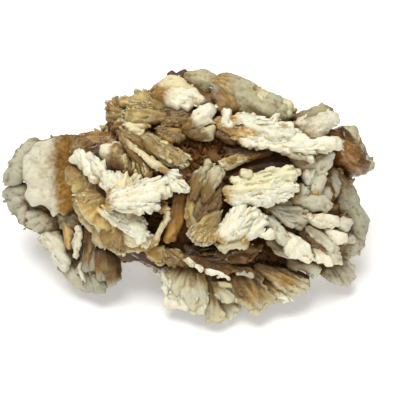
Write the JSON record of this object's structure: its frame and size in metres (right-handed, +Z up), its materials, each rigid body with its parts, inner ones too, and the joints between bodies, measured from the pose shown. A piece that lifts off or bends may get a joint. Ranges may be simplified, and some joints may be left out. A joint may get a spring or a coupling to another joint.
{
  "type": "barite crystal cluster",
  "caption": "Crested barite specimen: a mound of tabular crystal blades in fans and rosettes, white at the rims and honey-brown at the roots, on a flat broken base",
  "frame": {"origin": "the middle of the cluster's box, on the plane of its flat broken base", "axes": "+X along the cluster's length, -Y toward the side that faces the viewer, +Z up from the flat base"},
  "size_m": [0.1128, 0.0717, 0.052],
  "materials": {
    "barite": "rough white and cream crystal crusts over translucent honey-brown blades"
  },
  "bodies": {
    "root": {"barite_cluster": "barite"}
  },
  "joints": []
}
